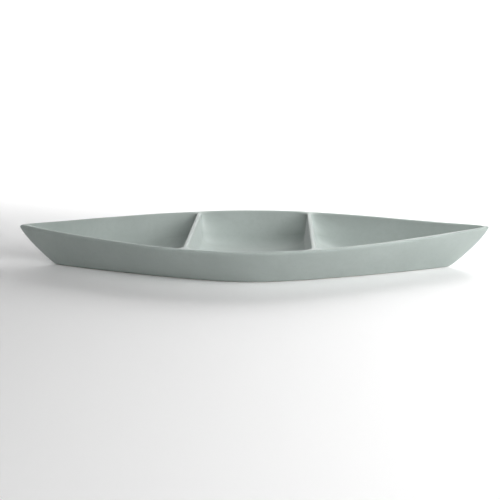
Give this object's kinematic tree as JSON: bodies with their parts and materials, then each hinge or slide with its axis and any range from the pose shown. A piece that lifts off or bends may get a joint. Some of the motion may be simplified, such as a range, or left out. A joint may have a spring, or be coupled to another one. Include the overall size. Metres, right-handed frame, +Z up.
{
  "type": "divided serving bowl",
  "caption": "Long boat-shaped glazed stoneware serving dish with raked pointed ends, leaning walls, a flat base and cross dividers that part it into compartments for snacks or dips.",
  "frame": {"origin": "middle of the dish, on the flat underside that it stands on", "axes": "+X along the length to the right end, +Y to the back wall, +Z up out of the compartments"},
  "size_m": [0.4487, 0.144, 0.0406],
  "materials": {
    "glaze": "satin grey-green glaze"
  },
  "bodies": {
    "root": {"floor": "glaze", "front_wall": "glaze", "back_wall": "glaze", "left_divider": "glaze", "right_divider": "glaze"}
  },
  "joints": []
}
